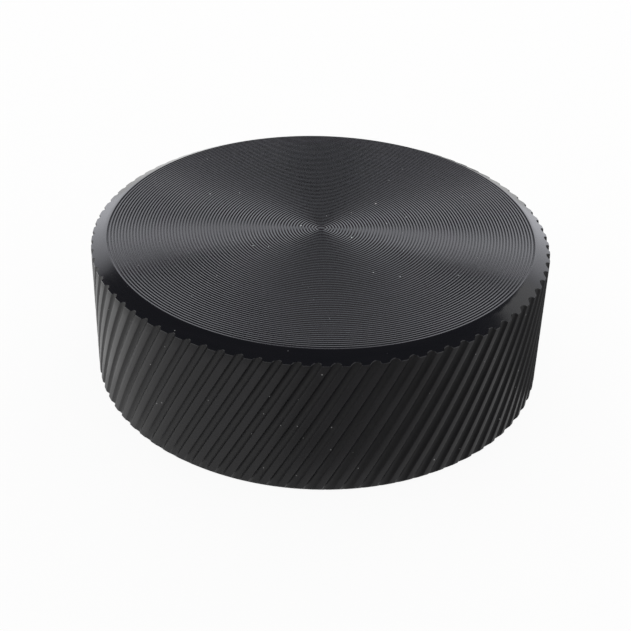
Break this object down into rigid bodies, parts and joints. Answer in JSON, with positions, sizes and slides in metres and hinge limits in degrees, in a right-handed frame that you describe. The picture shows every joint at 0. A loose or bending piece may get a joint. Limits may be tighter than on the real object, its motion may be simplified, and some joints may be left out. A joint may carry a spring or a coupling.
{
  "type": "knurled control knob",
  "caption": "Round solid knob with slanting knurling, a polished bevel and a ring-turned top, bored from below for a round shaft and locked by a radial grub screw.",
  "frame": {"origin": "centre of the underside", "axes": "+Z along the knob's axis, from the underside to the ring-turned top; +Y towards the grub screw's hole"},
  "size_m": [0.045, 0.045, 0.0147],
  "materials": {
    "black_anodised_aluminium": "dyed black anodising over a fine ring-turned top, a polished bevel and a knurled wall",
    "black_oxide_steel": "black oxide, slightly oily"
  },
  "bodies": {
    "root": {"knob_body": "black_anodised_aluminium", "set_screw": "black_oxide_steel"}
  },
  "joints": []
}
